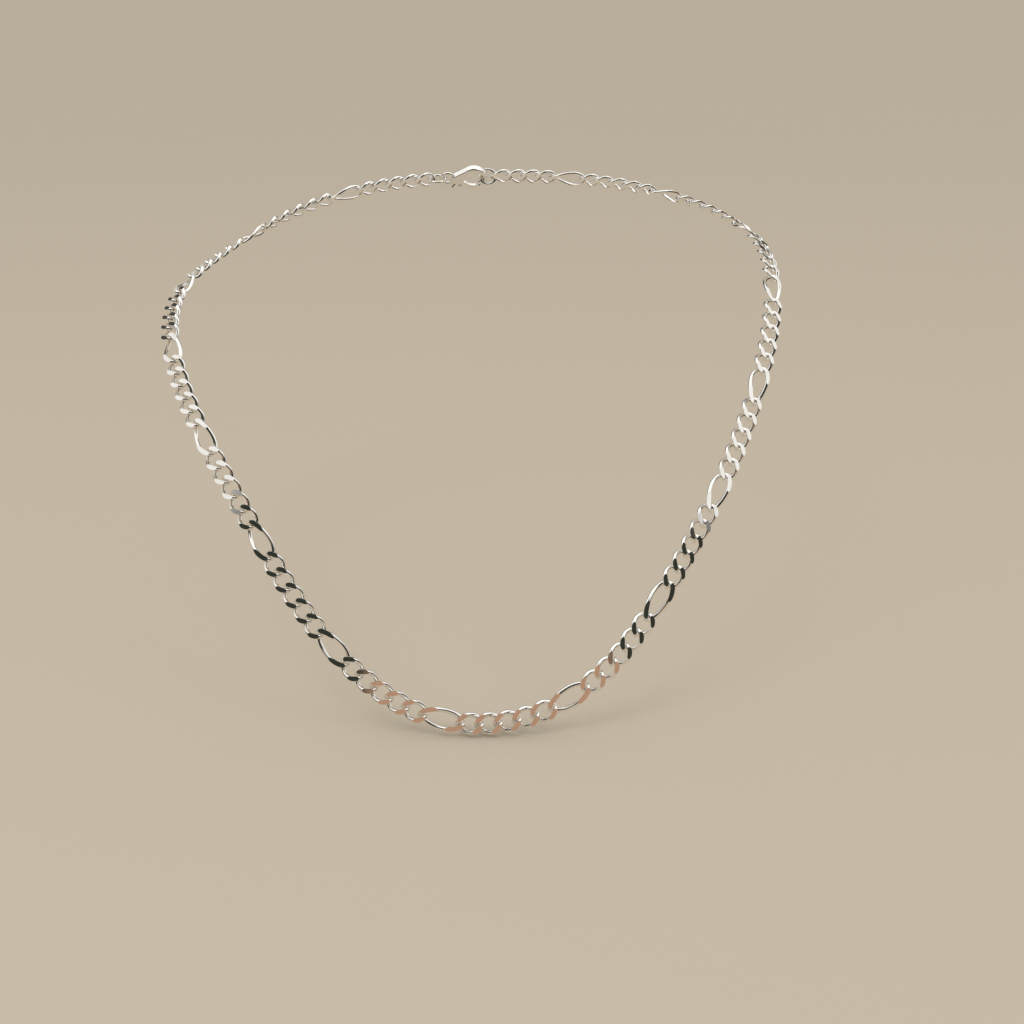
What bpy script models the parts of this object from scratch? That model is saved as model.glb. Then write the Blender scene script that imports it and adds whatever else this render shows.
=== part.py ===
"""A figaro chain necklace with a lobster claw clasp, worn round a neck.

The chain is curb-twisted round wire: runs of five short oval links with one long oval link
between them, cut flat on the front and on the back. It is closed round the neck, so it lies on
one closed route: round the nape, over both shoulders and down to its lowest point on the chest.

Frame: +X to the left shoulder of the wearer, -Y out of the chest, +Z up, and the origin in the
middle of the neck. Along the chain, every piece has a frame of its own: x along the chain, z away
from the skin, and y across it.
"""

import math

import bmesh
import bpy
import numpy as np
from mathutils import Matrix, Vector

MM = 0.001

# The wire and the links. A link's pitch is the distance between the points where its neighbours
# pull on it.
WIRE = 1.1 * MM
LINK_WIDTH = 5.15 * MM
SHORT_PITCH = 4.2 * MM
LONG_PITCH = 8.6 * MM
CONTACT_GAP = 0.15 * MM
FLAT_THICKNESS = 1.85 * MM
END_TWIST = math.radians(45)
LONG_POWER = 2.3
SHORT_STEPS = 12
LONG_STEPS = 14
WIRE_SIDES = 6
BEAD_SIDE = 0.5 * MM

# The pattern: a full run of short links, then a long link, over and over, and a last short run.
LONG_LINKS = 16
FULL_RUN = 5
LAST_RUN = 4
MIDDLE_RUN = LONG_LINKS // 2

# The jump rings, each tilted a little so that it crosses the end of its link.
RING_WIRE = 0.9 * MM
RING_PITCH = 3.4 * MM
RING_TILT = math.radians(20)
RING_STEPS = 16

# The clasp, from the eye's pull point to the hook's.
CLASP_PITCH = 11.0 * MM
CLASP_HALF = 1.15 * MM
CLASP_BEVEL = 0.35 * MM
HOOK_RADIUS = 4.0 * MM
HOOK_HOLE = 2.5 * MM
HOOK_FLARE = 0.7 * MM
TAIL_X = 1.9 * MM
TAIL_RADIUS = 1.5 * MM
EYE_WIRE = 1.1 * MM
EYE_HOLE = 1.3 * MM
PIN_RADIUS = 0.45 * MM
PIN_GAP = 0.08 * MM
PIN_INSET = 0.05 * MM
PIN_X = 0.95 * MM
PIN_Y = -1.75 * MM

# The lever: a gate that closes the hook from its nose to the pin, and a thumb tab behind the pin.
LEVER_HALF = 0.5 * MM
GATE_WALL = 1.25 * MM
GATE_START = math.radians(258)
GATE_END = math.radians(318)
NOSE_GAP = 0.1 * MM
KNUCKLE_RADIUS = 0.95 * MM
TAB_ROOT = (0.5 * MM, -1.35 * MM)
TAB_TIP = (1.9 * MM, -2.6 * MM)
TAB_TOP = (2.5 * MM, -1.9 * MM)

# The slot in the body that the lever turns in, and the mouth, both open below the clasp. Their
# ends along the chain are measured from the pin.
SLOT_HALF = 0.65 * MM
SLOT_FRONT = 1.3 * MM
SLOT_BACK = 1.7 * MM
SLOT_LEAN = 0.7 * MM
SLOT_ROOF = 0.35 * MM
MOUTH_BACK = 1.2 * MM
CUT_DEPTH = 5 * MM
SPRING_THICKNESS = 0.3 * MM
SPRING_RADIUS = 1.95 * MM

# The route, chosen point by point from the nape over the right shoulder of the wearer, down to
# the chest and back over the left shoulder: a place in millimetres, and the way out of the skin.
ROUTE = (
    ((0.0, 35.0, 14.0), (0.0, 0.80, 0.60)),
    ((-28.0, 31.5, 11.8), (-0.15, 0.75, 0.64)),
    ((-52.0, 22.0, 5.5), (-0.30, 0.50, 0.80)),
    ((-67.0, 8.0, -1.5), (-0.42, 0.10, 0.89)),
    ((-74.7, -8.9, -6.5), (-0.50, -0.35, 0.79)),
    ((-73.6, -35.3, -15.7), (-0.45, -0.60, 0.66)),
    ((-62.7, -58.5, -30.5), (-0.36, -0.75, 0.56)),
    ((-47.6, -76.8, -49.2), (-0.27, -0.84, 0.46)),
    ((-30.3, -90.7, -70.1), (-0.18, -0.90, 0.40)),
    ((-6.1, -97.6, -84.7), (-0.04, -0.93, 0.37)),
    ((22.3, -96.0, -80.7), (0.06, -0.92, 0.38)),
    ((42.8, -86.8, -60.4), (0.22, -0.87, 0.43)),
    ((57.7, -69.0, -40.5), (0.33, -0.78, 0.52)),
    ((68.8, -49.1, -20.6), (0.42, -0.65, 0.62)),
    ((74.6, -25.8, -2.9), (0.48, -0.45, 0.74)),
    ((71.0, 0.0, 5.9), (0.45, 0.0, 0.89)),
    ((54.0, 20.0, 11.0), (0.32, 0.42, 0.82)),
    ((29.0, 31.5, 13.8), (0.16, 0.72, 0.66)),
)
ROUTE_SAMPLES = 200
CLASP_AT = 4.0 * MM


def closed_curve(points, lengths):
    """Points along a cubic spline through a closed list of points, evenly spaced in each span."""
    count = len(points)
    slopes = (np.roll(points, -1, 0) - points) / lengths[:, None]
    system = np.zeros((count, count))
    for i in range(count):
        system[i, i - 1] += lengths[i - 1]
        system[i, i] += 2 * (lengths[i - 1] + lengths[i])
        system[i, (i + 1) % count] += lengths[i]
    bends = np.linalg.solve(system, 6 * (slopes - np.roll(slopes, 1, 0)))
    curve = []
    for i in range(count):
        after = (i + 1) % count
        for u in np.arange(ROUTE_SAMPLES) / ROUTE_SAMPLES:
            v = 1 - u
            sag = (v**3 - v) * bends[i] + (u**3 - u) * bends[after]
            curve.append(v * points[i] + u * points[after] + lengths[i] ** 2 / 6 * sag)
    return np.array(curve)


class Route:
    """The closed line that the chain follows, measured along its length from the clasp's middle."""

    def __init__(self, pitches):
        places = np.array([place for place, _ in ROUTE]) * MM
        outward = np.array([way for _, way in ROUTE])
        spans = np.linalg.norm(np.roll(places, -1, 0) - places, axis=1)
        self.places = closed_curve(places, spans)
        self.outward = closed_curve(outward, spans)
        steps = np.linalg.norm(np.roll(self.places, -1, 0) - self.places, axis=1)
        self.along = np.concatenate([[0], np.cumsum(steps)])
        self.stretch = self.along[-1] / sum(pitches)

    def at(self, values, distance):
        """One of the route's values at a distance from the clasp's middle."""
        along = (CLASP_AT + distance * self.stretch) % self.along[-1]
        closed = np.vstack([values, values[:1]])
        return Vector([np.interp(along, self.along, closed[:, k]) for k in range(3)])

    def frame(self, start, end):
        """The frame of a piece pulled at two distances: its origin is midway between them."""
        first = self.at(self.places, start)
        last = self.at(self.places, end)
        out = self.at(self.outward, (start + end) / 2)
        x = (last - first).normalized()
        z = (out - x * out.dot(x)).normalized()
        y = z.cross(x)
        turn = Matrix((x, y, z)).transposed().to_4x4()
        return Matrix.Translation((first + last) / 2) @ turn


def run_split(run):
    """How the short links of a run are shared between the solids that move on each other."""
    if run in (MIDDLE_RUN - 1, MIDDLE_RUN, MIDDLE_RUN + 1):
        return (2, 1, 2)
    if run == LONG_LINKS:
        return (2, LAST_RUN - 2)
    if run < MIDDLE_RUN:
        return (2, FULL_RUN - 2)
    return (FULL_RUN - 2, 2)


def chain_plan():
    """Every solid of links in order, from the clasp ring to the end ring: (name, link pitches)."""
    plan = []
    for run in range(LONG_LINKS + 1):
        for letter, links in zip("abc", run_split(run)):
            plan.append((f"short_links_{run + 1:02d}{letter}", [SHORT_PITCH] * links))
        if run < LONG_LINKS:
            plan.append((f"long_link_{run + 1:02d}", [LONG_PITCH]))
    return plan


def chain_layout():
    """Every piece of the closed loop in order: (name, [frame of each of its rings or links])."""
    plan = [("clasp", [CLASP_PITCH]), ("clasp_ring", [RING_PITCH])]
    plan += chain_plan()
    plan.append(("end_ring", [RING_PITCH]))
    route = Route([pitch for _, pitches in plan for pitch in pitches])
    layout = []
    distance = -CLASP_PITCH / 2
    for name, pitches in plan:
        frames = []
        for pitch in pitches:
            frames.append(route.frame(distance, distance + pitch))
            distance += pitch
        layout.append((name, frames))
    return layout


def wire_ring(centre_line, radius, sides):
    """A bmesh of round wire along a closed line of points round the origin."""
    count = len(centre_line)
    tangents = np.roll(centre_line, -1, 0) - np.roll(centre_line, 1, 0)
    tangents /= np.linalg.norm(tangents, axis=1)[:, None]
    across = centre_line - (centre_line * tangents).sum(1)[:, None] * tangents
    across /= np.linalg.norm(across, axis=1)[:, None]
    upward = np.cross(tangents, across)
    mesh = bmesh.new()
    rows = []
    for i in range(count):
        row = []
        for j in range(sides):
            angle = 2 * math.pi * j / sides
            offset = math.cos(angle) * across[i] + math.sin(angle) * upward[i]
            row.append(mesh.verts.new(centre_line[i] + radius * offset))
        rows.append(row)
    for i in range(count):
        here, there = rows[i], rows[(i + 1) % count]
        for j in range(sides):
            k = (j + 1) % sides
            mesh.faces.new((here[j], there[j], there[k], here[k]))
    bmesh.ops.recalc_face_normals(mesh, faces=mesh.faces)
    return mesh


def signed_power(values, power):
    return np.sign(values) * np.abs(values) ** power


def cut_flat(mesh, height):
    """Brings every point further than a height above or below the middle back to that height."""
    for vert in mesh.verts:
        vert.co.z = max(-height, min(height, vert.co.z))


def link_mesh(name, pitch, steps, power):
    """An oval link, twisted along its length and cut flat on both sides."""
    half_length = (pitch + CONTACT_GAP + WIRE) / 2
    half_width = (LINK_WIDTH - WIRE) / 2
    angle = np.arange(steps) / steps * 2 * math.pi
    x = half_length * signed_power(np.cos(angle), 2 / power)
    across = half_width * signed_power(np.sin(angle), 2 / power)
    twist = -END_TWIST * x / half_length
    line = np.stack([x, across * np.cos(twist), across * np.sin(twist)], axis=1)
    mesh = wire_ring(line, WIRE / 2, WIRE_SIDES)
    cut_flat(mesh, FLAT_THICKNESS / 2)
    return finished_mesh(name, mesh)


def jump_ring_mesh(name, tilt):
    """A plain round ring that stands up from the chain's plane, tilted about the chain's line."""
    radius = (RING_PITCH + CONTACT_GAP + RING_WIRE) / 2
    angle = np.arange(RING_STEPS) / RING_STEPS * 2 * math.pi
    across = radius * np.sin(angle)
    line = np.stack(
        [radius * np.cos(angle), across * math.sin(tilt), across * math.cos(tilt)], axis=1
    )
    return finished_mesh(name, wire_ring(line, RING_WIRE / 2, WIRE_SIDES))


def finished_mesh(name, mesh):
    """Turns a bmesh into a mesh with smooth round faces and sharp cut edges."""
    data = bpy.data.meshes.new(name)
    mesh.to_mesh(data)
    mesh.free()
    data.shade_smooth()
    data.set_sharp_from_angle(angle=math.radians(50))
    return data


def prism(outline, low, high):
    """A bmesh of a flat outline, made solid between two heights."""
    mesh = bmesh.new()
    base = mesh.faces.new([mesh.verts.new((x, y, low)) for x, y in outline])
    raised = bmesh.ops.extrude_face_region(mesh, geom=[base])["geom"]
    points = [item for item in raised if isinstance(item, bmesh.types.BMVert)]
    bmesh.ops.translate(mesh, verts=points, vec=(0, 0, high - low))
    bmesh.ops.recalc_face_normals(mesh, faces=mesh.faces)
    return mesh


def turned(profile, steps):
    """A bmesh turned round Z from its lower end up: (radius, height) pairs, closed at both ends."""
    mesh = bmesh.new()
    rows = []
    for radius, height in profile:
        rows.append([mesh.verts.new((x, y, height)) for x, y in circle((0, 0), radius, steps)])
    for low, high in zip(rows, rows[1:]):
        for i in range(steps):
            j = (i + 1) % steps
            mesh.faces.new((low[i], low[j], high[j], high[i]))
    mesh.faces.new(rows[0])
    mesh.faces.new(rows[-1])
    bmesh.ops.recalc_face_normals(mesh, faces=mesh.faces)
    return mesh


def arc(centre, radius, start, end, steps):
    """Points along an arc, its angles in radians."""
    return [
        (centre[0] + radius * math.cos(angle), centre[1] + radius * math.sin(angle))
        for angle in np.linspace(start, end, steps)
    ]


def circle(centre, radius, steps=20):
    return arc(centre, radius, 0, 2 * math.pi, steps + 1)[:-1]


def material(name, colour, roughness):
    finish = bpy.data.materials.new(name)
    finish.use_nodes = True
    shader = finish.node_tree.nodes["Principled BSDF"]
    shader.inputs["Base Color"].default_value = (*colour, 1)
    shader.inputs["Metallic"].default_value = 1
    shader.inputs["Roughness"].default_value = roughness
    return finish


def add_object(name, data, frame, parent, finish):
    obj = bpy.data.objects.new(name, data)
    bpy.context.scene.collection.objects.link(obj)
    obj.parent = parent
    obj.matrix_world = frame
    if not data.materials:
        data.materials.append(finish)
    return obj


def add_tool(name, mesh, frame, parent, target, operation):
    """A hidden solid that is cut from its target, or joined to it."""
    data = bpy.data.meshes.new(name)
    mesh.to_mesh(data)
    mesh.free()
    tool = bpy.data.objects.new(name, data)
    bpy.context.scene.collection.objects.link(tool)
    tool.parent = parent
    tool.matrix_world = frame
    tool.hide_render = True
    tool.display_type = "WIRE"
    change = target.modifiers.new(name, "BOOLEAN")
    change.operation = operation
    change.object = tool
    return tool


def beads(frames):
    """Small square beads that hold the short links of one solid together, where they meet."""
    mesh = bmesh.new()
    home = frames[0].inverted()
    for frame in frames[:-1]:
        meeting = home @ frame @ Vector((SHORT_PITCH / 2, 0, 0))
        bmesh.ops.create_cube(mesh, size=BEAD_SIDE, matrix=Matrix.Translation(meeting))
    return mesh


def links_object(name, frames, link, parent, finish):
    """One solid of links. Its origin is on its hinge line, where the piece before it pulls."""
    shift = Matrix.Translation((-SHORT_PITCH / 2, 0, 0))
    home = frames[0] @ shift
    joined = bmesh.new()
    for frame in frames:
        part = link.copy()
        part.transform(home.inverted() @ frame)
        joined.from_mesh(part)
        bpy.data.meshes.remove(part)
    obj = add_object(name, finished_mesh(name, joined), home, parent, finish)
    add_tool(f"{name}_beads", beads(frames), frames[0], parent, obj, "UNION")
    return obj


def clasp_outline():
    """The clasp body from above: a round hook end that narrows to a tail."""
    hook_x = hook_centre()
    lean = math.acos((HOOK_RADIUS - TAIL_RADIUS) / (TAIL_X - hook_x))
    tail = arc((TAIL_X, 0), TAIL_RADIUS, -lean, lean, 9)
    hook = arc((hook_x, 0), HOOK_RADIUS, lean, 2 * math.pi - lean, 25)
    return tail + hook


def hook_centre():
    return -(CLASP_PITCH + CONTACT_GAP) / 2 + HOOK_HOLE


def clasp_body(frame, parent, finish):
    """The hook, its tail and its eye, with the mouth, the lever's slot and the pin's hole."""
    blank = prism(clasp_outline(), -CLASP_HALF, CLASP_HALF)
    rims = [edge for edge in blank.edges if edge.verts[0].co.z == edge.verts[1].co.z]
    bmesh.ops.bevel(blank, geom=rims, offset=CLASP_BEVEL, segments=1, affect="EDGES")
    body = finished_mesh("clasp_body", blank)
    obj = add_object("clasp_body", body, frame, parent, finish)
    hook_x = hook_centre()
    eye_x = (CLASP_PITCH + CONTACT_GAP) / 2 - EYE_HOLE
    eye_radius = EYE_HOLE + EYE_WIRE / 2
    line = np.array([(x, y, 0) for x, y in circle((0, 0), eye_radius)])
    eye = wire_ring(line, EYE_WIRE / 2, 8)
    eye_frame = frame @ Matrix.Translation((eye_x, 0, 0))
    add_tool("clasp_eye", eye, eye_frame, parent, obj, "UNION")
    reach = 2 * CLASP_HALF
    waist = 0.35 * CLASP_HALF
    flare = HOOK_HOLE + HOOK_FLARE * (reach - waist) / (CLASP_HALF - waist)
    spool = [(flare, -reach), (HOOK_HOLE, -waist), (HOOK_HOLE, waist), (flare, reach)]
    hook_frame = frame @ Matrix.Translation((hook_x, 0, 0))
    add_tool("hook_hole", turned(spool, 24), hook_frame, parent, obj, "DIFFERENCE")
    add_tool("mouth", prism(mouth_outline(), -reach, reach), frame, parent, obj, "DIFFERENCE")
    slot = [
        (PIN_X - SLOT_FRONT, -CUT_DEPTH),
        (PIN_X + SLOT_BACK + SLOT_LEAN, -CUT_DEPTH),
        (PIN_X + SLOT_BACK, SLOT_ROOF),
        (PIN_X - SLOT_FRONT, SLOT_ROOF),
    ]
    add_tool("slot", prism(slot, -SLOT_HALF, SLOT_HALF), frame, parent, obj, "DIFFERENCE")
    pin_hole = prism(circle((PIN_X, PIN_Y), PIN_RADIUS + PIN_GAP, 12), -reach, reach)
    add_tool("pin_hole", pin_hole, frame, parent, obj, "DIFFERENCE")
    return obj


def mouth_outline():
    """The mouth. The hook's nose ends it on an arc about the pin, which the gate's tip clears."""
    tip = arc((hook_centre(), 0), HOOK_RADIUS, GATE_START, GATE_END, 2)[0]
    swing = math.hypot(tip[0] - PIN_X, tip[1] - PIN_Y) + NOSE_GAP
    low = math.pi + math.asin((CUT_DEPTH + PIN_Y) / swing)
    high = math.pi + math.asin(PIN_Y / swing)
    nose = arc((PIN_X, PIN_Y), swing, low, high, 8)
    return nose + [(PIN_X - MOUTH_BACK, 0), (PIN_X - MOUTH_BACK, -CUT_DEPTH)]


def clasp_lever(frame, parent, finish):
    """The gate, which follows the hook's round outside, its knuckle and the thumb tab."""
    hook = (hook_centre(), 0)
    outline = arc(hook, HOOK_RADIUS, GATE_START, GATE_END, 9)
    outline += [(PIN_X + x, PIN_Y + y) for x, y in (TAB_ROOT, TAB_TIP, TAB_TOP)]
    outline += arc((PIN_X, PIN_Y), KNUCKLE_RADIUS, 0, math.radians(120), 6)
    outline += arc(hook, HOOK_RADIUS - GATE_WALL, GATE_END + math.radians(3), GATE_START, 8)
    lever = finished_mesh("clasp_lever", prism(outline, -LEVER_HALF, LEVER_HALF))
    pivot = frame @ Matrix.Translation((PIN_X, PIN_Y, 0))
    lever.transform(Matrix.Translation((-PIN_X, -PIN_Y, 0)))
    obj = add_object("clasp_lever", lever, pivot, parent, finish)
    hole = prism(circle((0, 0), PIN_RADIUS + PIN_GAP, 12), -CLASP_HALF, CLASP_HALF)
    add_tool("lever_hole", hole, pivot, parent, obj, "DIFFERENCE")
    return obj


def clasp_pin(frame, parent, finish):
    height = CLASP_HALF - PIN_INSET
    pin = prism(circle((0, 0), PIN_RADIUS, 12), -height, height)
    pivot = frame @ Matrix.Translation((PIN_X, PIN_Y, 0))
    return add_object("clasp_pin", finished_mesh("clasp_pin", pin), pivot, parent, finish)


def clasp_spring(frame, parent, finish):
    """A bowed strip under the roof of the slot, which presses the lever shut."""
    inner = SPRING_RADIUS - SPRING_THICKNESS
    outline = arc((PIN_X, PIN_Y), SPRING_RADIUS, math.radians(60), math.radians(120), 7)
    outline += arc((PIN_X, PIN_Y), inner, math.radians(120), math.radians(60), 7)
    strip = prism(outline, -LEVER_HALF, LEVER_HALF)
    data = finished_mesh("clasp_spring", strip)
    return add_object("clasp_spring", data, frame, parent, finish)


def main():
    for obj in list(bpy.data.objects):
        bpy.data.objects.remove(obj)
    silver = material("polished_silver", (0.93, 0.91, 0.87), 0.08)
    steel = material("spring_steel", (0.62, 0.63, 0.65), 0.3)
    necklace = bpy.data.objects.new("necklace", None)
    bpy.context.scene.collection.objects.link(necklace)

    short_link = link_mesh("short_link", SHORT_PITCH, SHORT_STEPS, 2)
    long_link = link_mesh("long_link", LONG_PITCH, LONG_STEPS, LONG_POWER)
    rings = {
        "clasp_ring": jump_ring_mesh("clasp_ring", -RING_TILT),
        "end_ring": jump_ring_mesh("end_ring", RING_TILT),
    }
    for name, frames in chain_layout():
        if name == "clasp":
            clasp_body(frames[0], necklace, silver)
            clasp_lever(frames[0], necklace, silver)
            clasp_pin(frames[0], necklace, steel)
            clasp_spring(frames[0], necklace, steel)
        elif name in rings:
            add_object(name, rings[name], frames[0], necklace, silver)
        elif name.startswith("long"):
            add_object(name, long_link, frames[0], necklace, silver)
        else:
            links_object(name, frames, short_link, necklace, silver)
    bpy.data.meshes.remove(short_link)


main()
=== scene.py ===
"""The looks of a figaro chain necklace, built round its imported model.

Every link, ring and clasp part is made here with round wire, real edges and diamond-cut facets,
and rides on the body of the CAD node that it stands for. The sizes and the route are the ones that
the CAD source uses, so each piece lies exactly where its node does.
"""

import math
import random

import bmesh
import bpy
import numpy as np
from mathutils import Matrix, Vector


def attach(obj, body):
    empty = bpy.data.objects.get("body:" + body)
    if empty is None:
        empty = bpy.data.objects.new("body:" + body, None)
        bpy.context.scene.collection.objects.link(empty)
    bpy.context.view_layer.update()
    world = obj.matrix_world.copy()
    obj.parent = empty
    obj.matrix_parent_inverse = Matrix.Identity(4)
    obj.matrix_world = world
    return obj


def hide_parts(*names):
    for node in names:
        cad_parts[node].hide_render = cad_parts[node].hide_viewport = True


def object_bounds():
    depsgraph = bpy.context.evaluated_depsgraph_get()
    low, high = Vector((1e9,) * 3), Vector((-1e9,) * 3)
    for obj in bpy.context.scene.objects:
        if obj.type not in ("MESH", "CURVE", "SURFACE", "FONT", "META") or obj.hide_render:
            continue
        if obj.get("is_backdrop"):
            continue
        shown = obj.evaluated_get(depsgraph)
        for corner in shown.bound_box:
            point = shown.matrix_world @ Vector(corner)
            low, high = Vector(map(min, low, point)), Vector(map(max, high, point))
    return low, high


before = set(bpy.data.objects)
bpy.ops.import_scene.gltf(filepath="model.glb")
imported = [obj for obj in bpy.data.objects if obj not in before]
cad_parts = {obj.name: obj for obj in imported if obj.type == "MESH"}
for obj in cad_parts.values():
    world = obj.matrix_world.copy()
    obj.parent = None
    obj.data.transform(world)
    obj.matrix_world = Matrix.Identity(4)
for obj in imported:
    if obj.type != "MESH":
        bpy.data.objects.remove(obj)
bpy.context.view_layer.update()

MM = 0.001

# The chain's sizes, as in the CAD source.
WIRE = 1.1 * MM
LINK_WIDTH = 5.15 * MM
SHORT_PITCH = 4.2 * MM
LONG_PITCH = 8.6 * MM
CONTACT_GAP = 0.15 * MM
FLAT_THICKNESS = 1.85 * MM
END_TWIST = math.radians(45)
LONG_POWER = 2.3
LONG_LINKS = 16
FULL_RUN = 5
LAST_RUN = 4
MIDDLE_RUN = LONG_LINKS // 2
RING_WIRE = 0.9 * MM
RING_PITCH = 3.4 * MM
RING_TILT = math.radians(20)

# The clasp's sizes, as in the CAD source.
CLASP_PITCH = 11.0 * MM
CLASP_HALF = 1.15 * MM
HOOK_RADIUS = 4.0 * MM
HOOK_HOLE = 2.5 * MM
HOOK_FLARE = 0.7 * MM
TAIL_X = 1.9 * MM
TAIL_RADIUS = 1.5 * MM
EYE_WIRE = 1.1 * MM
EYE_HOLE = 1.3 * MM
PIN_RADIUS = 0.45 * MM
PIN_GAP = 0.08 * MM
PIN_X = 0.95 * MM
PIN_Y = -1.75 * MM
LEVER_HALF = 0.5 * MM
GATE_WALL = 1.25 * MM
GATE_START = math.radians(258)
GATE_END = math.radians(318)
NOSE_GAP = 0.1 * MM
KNUCKLE_RADIUS = 0.95 * MM
TAB_ROOT = (0.5 * MM, -1.35 * MM)
TAB_TIP = (1.9 * MM, -2.6 * MM)
TAB_TOP = (2.5 * MM, -1.9 * MM)
SLOT_HALF = 0.65 * MM
SLOT_FRONT = 1.3 * MM
SLOT_BACK = 1.7 * MM
SLOT_LEAN = 0.7 * MM
SLOT_ROOF = 0.35 * MM
MOUTH_BACK = 1.2 * MM
CUT_DEPTH = 5 * MM
SPRING_THICKNESS = 0.3 * MM
SPRING_RADIUS = 1.95 * MM

# The finish that only the looks have. The cuts are how many differently cut links there are.
WIRE_SIDES = 20
SHORT_STEPS = 60
LONG_STEPS = 96
RING_STEPS = 56
SHORT_CUTS = 8
LONG_CUTS = 5
CUT_LEAN = math.radians(0.8)
RING_SEAM = 0.04 * MM
CLASP_ROUNDING = 0.6 * MM
HOOK_WAIST = 0.25 * CLASP_HALF
HOOK_ROOM = 0.22 * MM
FLARE_END = 0.95
TAB_ROUNDING = 0.3 * MM
STRIP_ROUNDING = 0.05 * MM
LEVER_ROUNDING = 0.14 * MM
EDGE_WEAR = 0.05 * MM
RIVET_DOME = 0.12 * MM
LARGE_FLAT = 0.5 * MM * MM
FLAT_LIKENESS = math.cos(math.radians(20))

# The route, listed point by point from the nape over the right shoulder of the wearer, down to
# the chest and back over the left shoulder: a place in millimetres, and the way out of the skin.
ROUTE = (
    ((0.0, 35.0, 14.0), (0.0, 0.80, 0.60)),
    ((-28.0, 31.5, 11.8), (-0.15, 0.75, 0.64)),
    ((-52.0, 22.0, 5.5), (-0.30, 0.50, 0.80)),
    ((-67.0, 8.0, -1.5), (-0.42, 0.10, 0.89)),
    ((-74.7, -8.9, -6.5), (-0.50, -0.35, 0.79)),
    ((-73.6, -35.3, -15.7), (-0.45, -0.60, 0.66)),
    ((-62.7, -58.5, -30.5), (-0.36, -0.75, 0.56)),
    ((-47.6, -76.8, -49.2), (-0.27, -0.84, 0.46)),
    ((-30.3, -90.7, -70.1), (-0.18, -0.90, 0.40)),
    ((-6.1, -97.6, -84.7), (-0.04, -0.93, 0.37)),
    ((22.3, -96.0, -80.7), (0.06, -0.92, 0.38)),
    ((42.8, -86.8, -60.4), (0.22, -0.87, 0.43)),
    ((57.7, -69.0, -40.5), (0.33, -0.78, 0.52)),
    ((68.8, -49.1, -20.6), (0.42, -0.65, 0.62)),
    ((74.6, -25.8, -2.9), (0.48, -0.45, 0.74)),
    ((71.0, 0.0, 5.9), (0.45, 0.0, 0.89)),
    ((54.0, 20.0, 11.0), (0.32, 0.42, 0.82)),
    ((29.0, 31.5, 13.8), (0.16, 0.72, 0.66)),
)
ROUTE_SAMPLES = 200
CLASP_AT = 4.0 * MM

# The camera: where it stands, how far it looks down, and its lens.
CAMERA_PLACE = Vector((10.05, -354.76, 70.33)) * MM
CAMERA_DOWN = math.radians(22.27)
CAMERA_LENS = 47.04
CAMERA_NEAR = 10 * MM

# The studio: everything is placed round this point, in the middle of the chain.
STUDIO_CENTRE = Vector((0, -35 * MM, -35 * MM))
CARD_DISTANCE = 1.3
CARD_COLUMNS = 25
CARD_ROWS = 13
DARK = (0.032, 0.036, 0.028)
DIM = (0.06, 0.06, 0.055)
SALMON = (0.45, 0.27, 0.175)
# Each card's colour, azimuths and elevations in degrees, and place in the stack of cards.
CARDS = {
    "dark_front": (DARK, (-58, 60), (-10, 40), 1),
    "dark_band": (DARK, (-94, 92), (-2, 26), 1.01),
    "dark_above": (DARK, (-42, 42), (34, 76), 0.99),
    "warm_front": (SALMON, (-17, 13), (1, 20), 0.98),
    "dark_back": (DIM, (145, 240), (11, 40), 1),
}
FLOOR_RADIUS = 25
FLOOR_COLOUR = (0.465, 0.404, 0.322)
# The sky's colours from the horizon, at 0, to straight up, at 1: (height, colour).
SKY_COLOURS = (
    (0.001, (0.375, 0.33, 0.265)),
    (0.12, (0.52, 0.50, 0.46)),
    (0.5, (0.70, 0.69, 0.67)),
    (0.9, (1.0, 0.99, 0.97)),
)
SKY_STRENGTH = 1.22


# ---- The chain's layout, as in the CAD source


def closed_curve(points, lengths):
    """Points along a cubic spline through a closed list of points, evenly spaced in each span."""
    count = len(points)
    slopes = (np.roll(points, -1, 0) - points) / lengths[:, None]
    system = np.zeros((count, count))
    for i in range(count):
        system[i, i - 1] += lengths[i - 1]
        system[i, i] += 2 * (lengths[i - 1] + lengths[i])
        system[i, (i + 1) % count] += lengths[i]
    bends = np.linalg.solve(system, 6 * (slopes - np.roll(slopes, 1, 0)))
    curve = []
    for i in range(count):
        after = (i + 1) % count
        for u in np.arange(ROUTE_SAMPLES) / ROUTE_SAMPLES:
            v = 1 - u
            sag = (v**3 - v) * bends[i] + (u**3 - u) * bends[after]
            curve.append(v * points[i] + u * points[after] + lengths[i] ** 2 / 6 * sag)
    return np.array(curve)


class Route:
    """The closed line that the chain follows, measured along its length from the clasp's middle."""

    def __init__(self, pitches):
        places = np.array([place for place, _ in ROUTE]) * MM
        outward = np.array([way for _, way in ROUTE])
        spans = np.linalg.norm(np.roll(places, -1, 0) - places, axis=1)
        self.places = closed_curve(places, spans)
        self.outward = closed_curve(outward, spans)
        steps = np.linalg.norm(np.roll(self.places, -1, 0) - self.places, axis=1)
        self.along = np.concatenate([[0], np.cumsum(steps)])
        self.stretch = self.along[-1] / sum(pitches)

    def at(self, values, distance):
        """One of the route's values at a distance from the clasp's middle."""
        along = (CLASP_AT + distance * self.stretch) % self.along[-1]
        closed = np.vstack([values, values[:1]])
        return Vector([np.interp(along, self.along, closed[:, k]) for k in range(3)])

    def frame(self, start, end):
        """The frame of a piece pulled at two distances: its origin is midway between them."""
        first = self.at(self.places, start)
        last = self.at(self.places, end)
        out = self.at(self.outward, (start + end) / 2)
        x = (last - first).normalized()
        z = (out - x * out.dot(x)).normalized()
        y = z.cross(x)
        turn = Matrix((x, y, z)).transposed().to_4x4()
        return Matrix.Translation((first + last) / 2) @ turn


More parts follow.
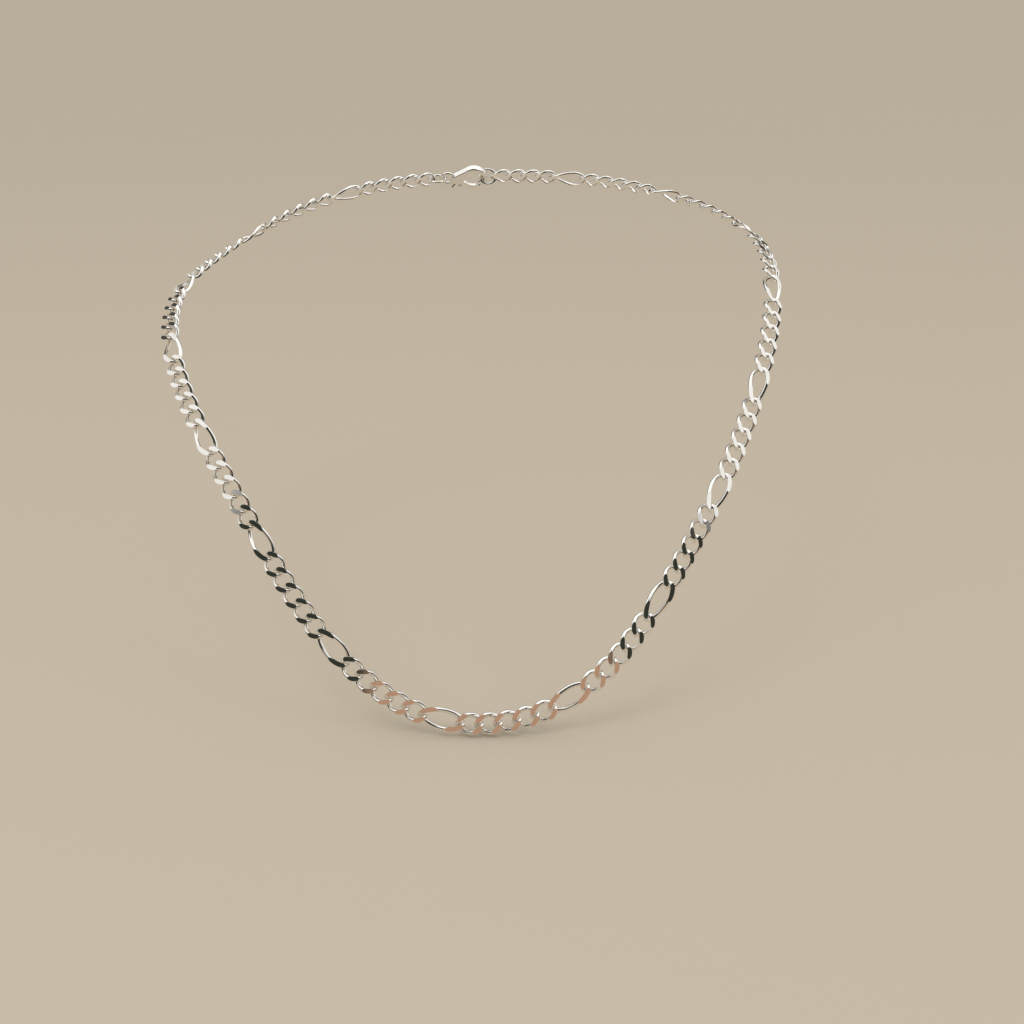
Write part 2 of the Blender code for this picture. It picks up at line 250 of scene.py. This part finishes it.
def run_split(run):
    """How the short links of a run are shared between the CAD nodes."""
    if run in (MIDDLE_RUN - 1, MIDDLE_RUN, MIDDLE_RUN + 1):
        return (2, 1, 2)
    if run == LONG_LINKS:
        return (2, LAST_RUN - 2)
    if run < MIDDLE_RUN:
        return (2, FULL_RUN - 2)
    return (FULL_RUN - 2, 2)


def chain_plan():
    """Every CAD node of links in order, from the clasp ring to the end ring: (name, pitches)."""
    plan = []
    for run in range(LONG_LINKS + 1):
        for letter, links in zip("abc", run_split(run)):
            plan.append((f"short_links_{run + 1:02d}{letter}", [SHORT_PITCH] * links))
        if run < LONG_LINKS:
            plan.append((f"long_link_{run + 1:02d}", [LONG_PITCH]))
    return plan


def chain_layout():
    """Every piece of the closed loop in order: (name, [frame of each of its rings or links])."""
    plan = [("clasp", [CLASP_PITCH]), ("clasp_ring", [RING_PITCH])]
    plan += chain_plan()
    plan.append(("end_ring", [RING_PITCH]))
    route = Route([pitch for _, pitches in plan for pitch in pitches])
    layout = []
    distance = -CLASP_PITCH / 2
    for name, pitches in plan:
        frames = []
        for pitch in pitches:
            frames.append(route.frame(distance, distance + pitch))
            distance += pitch
        layout.append((name, frames))
    return layout


# ---- Mesh tools


def arc(centre, radius, start, end, steps):
    """Points along an arc, its angles in radians."""
    return [
        (centre[0] + radius * math.cos(angle), centre[1] + radius * math.sin(angle))
        for angle in np.linspace(start, end, steps)
    ]


def circle(centre, radius, steps):
    return arc(centre, radius, 0, 2 * math.pi, steps + 1)[:-1]


def signed_power(values, power):
    return np.sign(values) * np.abs(values) ** power


def wire(line, radius, sides, closed=True):
    """A bmesh of round wire along a line of points round the origin, closed or with flat ends."""
    if closed:
        tangents = np.roll(line, -1, 0) - np.roll(line, 1, 0)
    else:
        tangents = np.gradient(line, axis=0)
    tangents /= np.linalg.norm(tangents, axis=1)[:, None]
    across = line - (line * tangents).sum(1)[:, None] * tangents
    across /= np.linalg.norm(across, axis=1)[:, None]
    upward = np.cross(tangents, across)
    mesh = bmesh.new()
    rows = []
    for i in range(len(line)):
        row = []
        for j in range(sides):
            angle = 2 * math.pi * j / sides
            offset = math.cos(angle) * across[i] + math.sin(angle) * upward[i]
            row.append(mesh.verts.new(line[i] + radius * offset))
        rows.append(row)
    following = rows[1:] + rows[:1] if closed else rows[1:]
    for here, there in zip(rows, following):
        for j in range(sides):
            k = (j + 1) % sides
            mesh.faces.new((here[j], there[j], there[k], here[k]))
    if not closed:
        mesh.faces.new(rows[0])
        mesh.faces.new(rows[-1])
    bmesh.ops.recalc_face_normals(mesh, faces=mesh.faces)
    return mesh


def prism(outline, low, high):
    """A bmesh of a flat outline, made solid between two heights."""
    mesh = bmesh.new()
    base = mesh.faces.new([mesh.verts.new((x, y, low)) for x, y in outline])
    raised = bmesh.ops.extrude_face_region(mesh, geom=[base])["geom"]
    points = [item for item in raised if isinstance(item, bmesh.types.BMVert)]
    bmesh.ops.translate(mesh, verts=points, vec=(0, 0, high - low))
    bmesh.ops.recalc_face_normals(mesh, faces=mesh.faces)
    return mesh


def round_rims(mesh, offset, segments):
    """Rounds the two rims of a prism."""
    rims = [edge for edge in mesh.edges if edge.verts[0].co.z == edge.verts[1].co.z]
    bmesh.ops.bevel(
        mesh, geom=rims, offset=offset, segments=segments, profile=0.5, affect="EDGES"
    )
    return mesh


def turned(profile, steps):
    """A bmesh turned round Z from its lower end up: (radius, height) pairs, closed at both ends."""
    mesh = bmesh.new()
    rows = []
    for radius, height in profile:
        rows.append([mesh.verts.new((x, y, height)) for x, y in circle((0, 0), radius, steps)])
    for low, high in zip(rows, rows[1:]):
        for i in range(steps):
            j = (i + 1) % steps
            mesh.faces.new((low[i], low[j], high[j], high[i]))
    mesh.faces.new(rows[0])
    mesh.faces.new(rows[-1])
    bmesh.ops.recalc_face_normals(mesh, faces=mesh.faces)
    return mesh


def sharpen_cuts(data):
    """Makes every edge sharp that lies between two finishes."""
    seen = {}
    sharp = data.attributes["sharp_edge"].data
    for face in data.polygons:
        for loop in face.loop_indices:
            edge = data.loops[loop].edge_index
            if seen.setdefault(edge, face.material_index) != face.material_index:
                sharp[edge].value = True


def mesh_data(name, mesh, finishes, sharp=32):
    """Turns a bmesh into a mesh, smooth where it is round and sharp where it is cut."""
    data = bpy.data.meshes.new(name)
    mesh.to_mesh(data)
    mesh.free()
    data.shade_smooth()
    data.set_sharp_from_angle(angle=math.radians(sharp))
    sharpen_cuts(data)
    for finish in finishes:
        data.materials.append(finish)
    return data


def flatten_faces(data, least_area):
    """Keeps the shading of large flat faces even up to the rounding round them."""
    normals = [Vector(corner.vector) for corner in data.corner_normals]
    flats = {}
    for face in data.polygons:
        if face.area > least_area:
            for vertex in face.vertices:
                flats.setdefault(vertex, []).append(face.normal.copy())
    for number, loop in enumerate(data.loops):
        for flat in flats.get(loop.vertex_index, []):
            if flat.dot(normals[number]) > FLAT_LIKENESS:
                normals[number] = flat
    data.normals_split_custom_set(normals)


def add_piece(name, data, place):
    piece = bpy.data.objects.new(name, data)
    bpy.context.scene.collection.objects.link(piece)
    piece.matrix_world = place
    return piece


def stand_for(piece, node, body):
    """The piece is shown in place of a CAD node and moves with its body."""
    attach(piece, body)
    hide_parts(node)


class Shaping:
    """A piece under work, in the clasp's own frame: solids are joined to it or cut from it."""

    def __init__(self, name, mesh):
        self.name = name
        blank = mesh_data(f"{name}_blank", mesh, [])
        self.obj = add_piece(blank.name, blank, Matrix.Identity(4))
        self.tools = []

    def change(self, mesh, operation, shift=(0, 0, 0)):
        data = mesh_data("tool", mesh, [])
        tool = add_piece("tool", data, Matrix.Translation(shift))
        step = self.obj.modifiers.new("step", "BOOLEAN")
        step.operation = operation
        step.object = tool
        self.tools.append(tool)

    def finished(self, finishes, wear):
        """The mesh with every change made and its sharp edges rounded a little by wear."""
        if wear:
            edges = self.obj.modifiers.new("wear", "BEVEL")
            edges.width = wear
            edges.segments = 3
            edges.limit_method = "ANGLE"
            edges.angle_limit = math.radians(35)
            edges.use_clamp_overlap = True
        bpy.context.view_layer.update()
        shown = self.obj.evaluated_get(bpy.context.evaluated_depsgraph_get())
        mesh = bmesh.new()
        mesh.from_mesh(shown.to_mesh())
        bmesh.ops.remove_doubles(mesh, verts=mesh.verts, dist=0.002 * MM)
        for obj in [self.obj] + self.tools:
            bpy.data.objects.remove(obj)
        for face in mesh.faces:
            face.material_index = 0
        data = mesh_data(self.name, mesh, finishes)
        flatten_faces(data, LARGE_FLAT)
        return data


# ---- Materials


def new_material(name, colour, metallic, roughness):
    finish = bpy.data.materials.new(name)
    finish.use_nodes = True
    shader = finish.node_tree.nodes["Principled BSDF"]
    shader.inputs["Base Color"].default_value = (*colour, 1)
    shader.inputs["Metallic"].default_value = metallic
    shader.inputs["Roughness"].default_value = roughness
    return finish, shader


def noise(tree, scale, detail, stretch=(1, 1, 1)):
    """Noise on the piece itself, different on each piece. The scale is in spots per metre."""
    place = tree.nodes.new("ShaderNodeTexCoord")
    size = tree.nodes.new("ShaderNodeVectorMath")
    size.operation = "MULTIPLY"
    size.inputs[1].default_value = stretch
    piece = tree.nodes.new("ShaderNodeObjectInfo")
    shift = tree.nodes.new("ShaderNodeVectorMath")
    shift.operation = "ADD"
    texture = tree.nodes.new("ShaderNodeTexNoise")
    texture.inputs["Scale"].default_value = scale
    texture.inputs["Detail"].default_value = detail
    tree.links.new(place.outputs["Object"], size.inputs[0])
    tree.links.new(size.outputs[0], shift.inputs[0])
    tree.links.new(piece.outputs["Random"], shift.inputs[1])
    tree.links.new(shift.outputs[0], texture.inputs["Vector"])
    return texture.outputs["Fac"]


def spread(tree, value, low, high, edges=(0.3, 0.7)):
    """A value between two edges, spread over a new range."""
    ranged = tree.nodes.new("ShaderNodeMapRange")
    ranged.inputs["From Min"].default_value = edges[0]
    ranged.inputs["From Max"].default_value = edges[1]
    ranged.inputs["To Min"].default_value = low
    ranged.inputs["To Max"].default_value = high
    tree.links.new(value, ranged.inputs["Value"])
    return ranged.outputs["Result"]


def between(tree, value, first, second):
    """A colour between two colours."""
    ramp = tree.nodes.new("ShaderNodeValToRGB")
    ramp.color_ramp.elements[0].position = 0.3
    ramp.color_ramp.elements[0].color = (*first, 1)
    ramp.color_ramp.elements[1].position = 0.7
    ramp.color_ramp.elements[1].color = (*second, 1)
    tree.links.new(value, ramp.inputs["Fac"])
    return ramp.outputs["Color"]


def bump(tree, shader, height, depth):
    lift = tree.nodes.new("ShaderNodeBump")
    lift.inputs["Strength"].default_value = 1
    lift.inputs["Distance"].default_value = depth
    tree.links.new(height, lift.inputs["Height"])
    tree.links.new(lift.outputs["Normal"], shader.inputs["Normal"])


def polished_silver():
    """Tumbled round wire: bright, with faint warmer patches and soft handling marks."""
    finish, shader = new_material("polished_silver", (0.94, 0.925, 0.895), 1, 0.08)
    tree = finish.node_tree
    patches = noise(tree, 420, 3)
    tone = between(tree, patches, (0.90, 0.875, 0.83), (0.965, 0.955, 0.935))
    tree.links.new(tone, shader.inputs["Base Color"])
    marks = noise(tree, 1500, 4, stretch=(0.35, 1, 1))
    tree.links.new(spread(tree, marks, 0.05, 0.13), shader.inputs["Roughness"])
    bump(tree, shader, marks, 0.004 * MM)
    return finish


def cut_silver():
    """A diamond-cut facet: a mirror, with the faint parallel lines that the cutter leaves."""
    finish, shader = new_material("diamond_cut_silver", (0.95, 0.935, 0.91), 1, 0.03)
    tree = finish.node_tree
    lines = noise(tree, 900, 2, stretch=(9, 0.6, 0.6))
    tree.links.new(spread(tree, lines, 0.02, 0.06), shader.inputs["Roughness"])
    tone = between(tree, noise(tree, 300, 2), (0.925, 0.905, 0.87), (0.965, 0.955, 0.935))
    tree.links.new(tone, shader.inputs["Base Color"])
    return finish


def cast_silver():
    """The clasp: cast, then polished, so that it is a little wavy, and duller than the wire."""
    finish, shader = new_material("cast_silver", (0.92, 0.90, 0.865), 1, 0.12)
    tree = finish.node_tree
    waves = noise(tree, 260, 4)
    tone = between(tree, waves, (0.86, 0.835, 0.79), (0.95, 0.94, 0.915))
    tree.links.new(tone, shader.inputs["Base Color"])
    tree.links.new(spread(tree, waves, 0.09, 0.2), shader.inputs["Roughness"])
    bump(tree, shader, waves, 0.012 * MM)
    return finish


def spring_steel():
    """Satin steel, drawn along the strip."""
    finish, shader = new_material("spring_steel", (0.62, 0.63, 0.65), 1, 0.3)
    tree = finish.node_tree
    grain = noise(tree, 1400, 4, stretch=(0.1, 0.1, 2))
    tone = between(tree, grain, (0.50, 0.51, 0.53), (0.66, 0.67, 0.69))
    tree.links.new(tone, shader.inputs["Base Color"])
    tree.links.new(spread(tree, grain, 0.22, 0.42), shader.inputs["Roughness"])
    bump(tree, shader, grain, 0.01 * MM)
    return finish


def floor_material():
    finish, shader = new_material("floor", FLOOR_COLOUR, 0, 0.9)
    shader.inputs["Specular IOR Level"].default_value = 0.1
    return finish


# ---- Links and rings


def link_line(pitch, steps, power):
    """The centre line of an oval link, twisted along its length."""
    half_length = (pitch + CONTACT_GAP + WIRE) / 2
    half_width = (LINK_WIDTH - WIRE) / 2
    angle = np.arange(steps) / steps * 2 * math.pi
    x = half_length * signed_power(np.cos(angle), 2 / power)
    across = half_width * signed_power(np.sin(angle), 2 / power)
    twist = -END_TWIST * x / half_length
    return np.stack([x, across * np.cos(twist), across * np.sin(twist)], axis=1)


def cut_facets(mesh, side, lean):
    """Cuts the front (side 1) or the back (-1) flat, and closes the cut with facet faces."""
    normal = Vector((math.sin(lean[0]), math.sin(lean[1]), side)).normalized()
    point = Vector((0, 0, side * FLAT_THICKNESS / 2))
    parts = list(mesh.verts) + list(mesh.edges) + list(mesh.faces)
    cut = bmesh.ops.bisect_plane(
        mesh, geom=parts, plane_co=point, plane_no=normal, clear_outer=True
    )
    rims = [item for item in cut["geom_cut"] if isinstance(item, bmesh.types.BMEdge)]
    filled = bmesh.ops.holes_fill(mesh, edges=rims)
    for face in filled["faces"]:
        face.material_index = 1


def link_meshes(name, pitch, steps, power, count, finishes, dice):
    """Links of one size. Each is cut at a slightly different lean, as a real cutter leaves them."""
    meshes = []
    for number in range(count):
        mesh = wire(link_line(pitch, steps, power), WIRE / 2, WIRE_SIDES)
        for side in (1, -1):
            cut_facets(mesh, side, [dice.uniform(-CUT_LEAN, CUT_LEAN) for _ in range(2)])
        bmesh.ops.recalc_face_normals(mesh, faces=mesh.faces)
        meshes.append(mesh_data(f"{name}_{number + 1}", mesh, finishes))
    return meshes


def ring_mesh(name, tilt, finish):
    """A jump ring, with the hairline seam where its two ends were pressed together."""
    radius = (RING_PITCH + CONTACT_GAP + RING_WIRE) / 2
    seam = RING_SEAM / radius / 2
    middle = math.radians(90)
    angle = np.linspace(middle + seam, middle + 2 * math.pi - seam, RING_STEPS)
    across = radius * np.sin(angle)
    line = np.stack(
        [radius * np.cos(angle), across * math.sin(tilt), across * math.cos(tilt)], axis=1
    )
    mesh = wire(line, RING_WIRE / 2, WIRE_SIDES, closed=False)
    return mesh_data(name, mesh, [finish])


def add_links(layout, silver, facet):
    """Every link of the chain. The short links are numbered within their run."""
    dice = random.Random(7)
    finishes = [silver, facet]
    short = link_meshes("short", SHORT_PITCH, SHORT_STEPS, 2, SHORT_CUTS, finishes, dice)
    long = link_meshes("long", LONG_PITCH, LONG_STEPS, LONG_POWER, LONG_CUTS, finishes, dice)
    counts = {}
    for node, frames in layout:
        if node.startswith("long_link"):
            name = node.replace("long_link", "long_oval")
            stand_for(add_piece(name, dice.choice(long), frames[0]), node, node)
        elif node.startswith("short_links"):
            run = node[len("short_links_") :][:2]
            for place in frames:
                counts[run] = counts.get(run, 0) + 1
                name = f"short_oval_{run}_{counts[run]}"
                piece = add_piece(name, dice.choice(short), place)
                stand_for(piece, node, node)


def add_rings(layout, silver):
    for node, frames in layout:
        if node in ("clasp_ring", "end_ring"):
            tilt = RING_TILT if node == "end_ring" else -RING_TILT
            mesh = ring_mesh(node, tilt, silver)
            stand_for(add_piece(f"{node}_wire", mesh, frames[0]), node, node)


# ---- The clasp, in its own frame: x along the chain towards its eye, z away from the skin


def hook_centre():
    return -(CLASP_PITCH + CONTACT_GAP) / 2 + HOOK_HOLE


def clasp_outline():
    """The clasp body from above: a round hook end that narrows to a tail."""
    hook_x = hook_centre()
    lean = math.acos((HOOK_RADIUS - TAIL_RADIUS) / (TAIL_X - hook_x))
    tail = arc((TAIL_X, 0), TAIL_RADIUS, -lean, lean, 25)
    hook = arc((hook_x, 0), HOOK_RADIUS, lean, 2 * math.pi - lean, 73)
    return tail + hook


def hook_spool():
    """What is cut from the hook: a waist that flares out to both faces in a quarter round.

    It flares HOOK_ROOM wider than in the CAD source, to clear the end ring's round wire.
    """
    reach = CLASP_HALF - HOOK_WAIST
    flare = HOOK_FLARE + HOOK_ROOM
    upper = [(HOOK_HOLE, HOOK_WAIST)]
    for share in np.linspace(0.1, 1, 10):
        out = 1 - math.sqrt(1 - (FLARE_END * share) ** 2)
        upper.append((HOOK_HOLE + flare * out, HOOK_WAIST + reach * share))
    upper.append((upper[-1][0] + 0.1 * MM, 2 * CLASP_HALF))
    lower = [(radius, -height) for radius, height in reversed(upper)]
    return turned(lower + upper, 72)


def mouth_outline():
    """The mouth. The hook's nose ends it on an arc about the pin, which the gate's tip clears."""
    tip = arc((hook_centre(), 0), HOOK_RADIUS, GATE_START, GATE_END, 2)[0]
    swing = math.hypot(tip[0] - PIN_X, tip[1] - PIN_Y) + NOSE_GAP
    low = math.pi + math.asin((CUT_DEPTH + PIN_Y) / swing)
    high = math.pi + math.asin(PIN_Y / swing)
    nose = arc((PIN_X, PIN_Y), swing, low, high, 24)
    return nose + [(PIN_X - MOUTH_BACK, 0), (PIN_X - MOUTH_BACK, -CUT_DEPTH)]


def clasp_body_mesh(finish):
    reach = 2 * CLASP_HALF
    blank = round_rims(prism(clasp_outline(), -CLASP_HALF, CLASP_HALF), CLASP_ROUNDING, 6)
    body = Shaping("clasp_body_cast", blank)
    eye_x = (CLASP_PITCH + CONTACT_GAP) / 2 - EYE_HOLE
    line = np.array([(x, y, 0) for x, y in circle((0, 0), EYE_HOLE + EYE_WIRE / 2, 48)])
    body.change(wire(line, EYE_WIRE / 2, WIRE_SIDES), "UNION", (eye_x, 0, 0))
    body.change(hook_spool(), "DIFFERENCE", (hook_centre(), 0, 0))
    body.change(prism(mouth_outline(), -reach, reach), "DIFFERENCE")
    slot = [
        (PIN_X - SLOT_FRONT, -CUT_DEPTH),
        (PIN_X + SLOT_BACK + SLOT_LEAN, -CUT_DEPTH),
        (PIN_X + SLOT_BACK, SLOT_ROOF),
        (PIN_X - SLOT_FRONT, SLOT_ROOF),
    ]
    body.change(prism(slot, -SLOT_HALF, SLOT_HALF), "DIFFERENCE")
    hole = prism(circle((PIN_X, PIN_Y), PIN_RADIUS + PIN_GAP, 32), -reach, reach)
    body.change(hole, "DIFFERENCE")
    return body.finished([finish], EDGE_WEAR)


def lever_mesh(finish):
    """The gate, which follows the hook's round outside, its knuckle and the thumb tab."""
    hook = (hook_centre(), 0)
    outline = arc(hook, HOOK_RADIUS, GATE_START, GATE_END, 25)
    outline += [(PIN_X + x, PIN_Y + y) for x, y in (TAB_ROOT, TAB_TIP, TAB_TOP)]
    outline += arc((PIN_X, PIN_Y), KNUCKLE_RADIUS, 0, math.radians(120), 13)
    outline += arc(hook, HOOK_RADIUS - GATE_WALL, GATE_END + math.radians(3), GATE_START, 21)
    blank = prism(outline, -LEVER_HALF, LEVER_HALF)
    tips = {(round(PIN_X + x, 7), round(PIN_Y + y, 7)) for x, y in (TAB_TIP, TAB_TOP)}
    upright = [
        edge
        for edge in blank.edges
        if edge.verts[0].co.z != edge.verts[1].co.z
        and min(math.dist(tip, edge.verts[0].co.xy) for tip in tips) < 0.01 * MM
    ]
    bmesh.ops.bevel(
        blank, geom=upright, offset=TAB_ROUNDING, segments=5, profile=0.5, affect="EDGES"
    )
    lever = Shaping("clasp_lever_cast", round_rims(blank, LEVER_ROUNDING, 3))
    hole = prism(circle((PIN_X, PIN_Y), PIN_RADIUS + PIN_GAP, 32), -CLASP_HALF, CLASP_HALF)
    lever.change(hole, "DIFFERENCE")
    return lever.finished([finish], 0)


def pin_mesh(finish):
    """The rivet, its two ends set a little domed."""
    edge = CLASP_HALF - RIVET_DOME
    dome = [
        (PIN_RADIUS * math.cos(angle), edge + RIVET_DOME * math.sin(angle))
        for angle in np.linspace(0, math.radians(80), 6)
    ]
    base = [(radius, -height) for radius, height in reversed(dome)]
    mesh = turned(base + dome, 32)
    bmesh.ops.translate(mesh, verts=mesh.verts, vec=(PIN_X, PIN_Y, 0))
    return mesh_data("clasp_pin_rivet", mesh, [finish])


def spring_mesh(finish):
    """The bowed strip under the roof of the slot."""
    inner = SPRING_RADIUS - SPRING_THICKNESS
    outline = arc((PIN_X, PIN_Y), SPRING_RADIUS, math.radians(60), math.radians(120), 25)
    outline += arc((PIN_X, PIN_Y), inner, math.radians(120), math.radians(60), 25)
    strip = round_rims(prism(outline, -LEVER_HALF, LEVER_HALF), STRIP_ROUNDING, 2)
    return mesh_data("clasp_spring_strip", strip, [finish])


def add_clasp(place, cast, steel):
    pieces = (
        ("clasp_body", clasp_body_mesh(cast), "clasp", "polished_silver"),
        ("clasp_lever", lever_mesh(cast), "lever", "polished_silver"),
        ("clasp_pin", pin_mesh(steel), "clasp", "spring_steel"),
        ("clasp_spring", spring_mesh(steel), "clasp", "spring_steel"),
    )
    for node, data, body, slot in pieces:
        stand_for(add_piece(data.name, data, place), node, body)


# ---- The studio


def add_camera():
    data = bpy.data.cameras.new("camera")
    data.lens = CAMERA_LENS
    data.clip_start = CAMERA_NEAR
    camera = bpy.data.objects.new("camera", data)
    bpy.context.scene.collection.objects.link(camera)
    camera.location = CAMERA_PLACE
    camera.rotation_euler = (math.pi / 2 - CAMERA_DOWN, 0, 0)
    bpy.context.scene.camera = camera


def add_floor(level):
    mesh = bmesh.new()
    bmesh.ops.create_circle(mesh, cap_ends=True, segments=96, radius=FLOOR_RADIUS)
    floor = add_piece("floor", mesh_data("floor", mesh, [floor_material()]), Matrix())
    floor.location.z = level
    floor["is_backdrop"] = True


def direction(azimuth, elevation):
    """The way to look for a place in the studio. Azimuth 0 is -Y, and 90 is +X."""
    a, e = math.radians(azimuth), math.radians(elevation)
    return Vector((math.sin(a) * math.cos(e), -math.cos(a) * math.cos(e), math.sin(e)))


def card_material(name, colour):
    """A plain glow that fades out towards the card's border."""
    finish = bpy.data.materials.new(name)
    finish.use_nodes = True
    tree = finish.node_tree
    tree.nodes.clear()
    cover = tree.nodes.new("ShaderNodeAttribute")
    cover.attribute_name = "cover"
    clear = tree.nodes.new("ShaderNodeBsdfTransparent")
    light = tree.nodes.new("ShaderNodeEmission")
    light.inputs["Color"].default_value = (*colour, 1)
    mix = tree.nodes.new("ShaderNodeMixShader")
    output = tree.nodes.new("ShaderNodeOutputMaterial")
    tree.links.new(cover.outputs["Fac"], mix.inputs["Fac"])
    tree.links.new(clear.outputs[0], mix.inputs[1])
    tree.links.new(light.outputs[0], mix.inputs[2])
    tree.links.new(mix.outputs[0], output.inputs["Surface"])
    return finish


def add_card(name, colour, azimuths, elevations, layer):
    """A curved card round the studio, seen only in the silver. Its border is soft."""
    distance = layer * CARD_DISTANCE
    mesh = bmesh.new()
    grid = [
        [
            mesh.verts.new(STUDIO_CENTRE + distance * direction(azimuth, elevation))
            for azimuth in np.linspace(*azimuths, CARD_COLUMNS)
        ]
        for elevation in np.linspace(*elevations, CARD_ROWS)
    ]
    for low, high in zip(grid, grid[1:]):
        for i in range(len(low) - 1):
            mesh.faces.new((low[i], low[i + 1], high[i + 1], high[i]))
    data = mesh_data(name, mesh, [card_material(name, colour)])
    cover = data.attributes.new("cover", "FLOAT", "POINT")
    for number in range(len(data.vertices)):
        row, column = divmod(number, CARD_COLUMNS)
        inside = 0 < row < CARD_ROWS - 1 and 0 < column < CARD_COLUMNS - 1
        cover.data[number].value = 1.0 if inside else 0.0
    card = add_piece(name, data, Matrix())
    card.visible_camera = False
    card.visible_diffuse = False
    card.visible_shadow = False
    card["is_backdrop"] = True


def add_light(name, azimuth, elevation, distance, size, power):
    data = bpy.data.lights.new(name, "AREA")
    data.size = size
    data.energy = power
    light = bpy.data.objects.new(name, data)
    bpy.context.scene.collection.objects.link(light)
    way = direction(azimuth, elevation)
    light.location = STUDIO_CENTRE + distance * way
    light.rotation_euler = way.to_track_quat("Z", "Y").to_euler()
    light.visible_glossy = False


def add_sky():
    """Soft white from above, down to the floor's own colour at the horizon."""
    world = bpy.data.worlds.new("studio")
    bpy.context.scene.world = world
    world.use_nodes = True
    tree = world.node_tree
    place = tree.nodes.new("ShaderNodeTexCoord")
    split = tree.nodes.new("ShaderNodeSeparateXYZ")
    ramp = tree.nodes.new("ShaderNodeValToRGB")
    # The ramp comes with a stop at each end, and these replace both.
    for place_up, colour in SKY_COLOURS:
        stop = ramp.color_ramp.elements.new(place_up)
        stop.color = (*colour, 1)
    ramp.color_ramp.elements.remove(ramp.color_ramp.elements[0])
    ramp.color_ramp.elements.remove(ramp.color_ramp.elements[-1])
    tree.links.new(place.outputs["Generated"], split.inputs["Vector"])
    tree.links.new(split.outputs["Z"], ramp.inputs["Fac"])
    tree.links.new(ramp.outputs["Color"], tree.nodes["Background"].inputs["Color"])
    tree.nodes["Background"].inputs["Strength"].default_value = SKY_STRENGTH


def add_studio():
    add_sky()
    for name, card in CARDS.items():
        add_card(name, *card)
    add_light("key", -35, 58, 1.0, 0.4, 2)
    add_light("fill", 60, 40, 1.2, 0.4, 1)
    bpy.context.scene.view_settings.view_transform = "Standard"


def main():
    layout = chain_layout()
    silver = polished_silver()
    add_camera()
    add_links(layout, silver, cut_silver())
    add_rings(layout, silver)
    add_clasp(layout[0][1][0], cast_silver(), spring_steel())
    add_floor(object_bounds()[0].z)
    add_studio()


main()
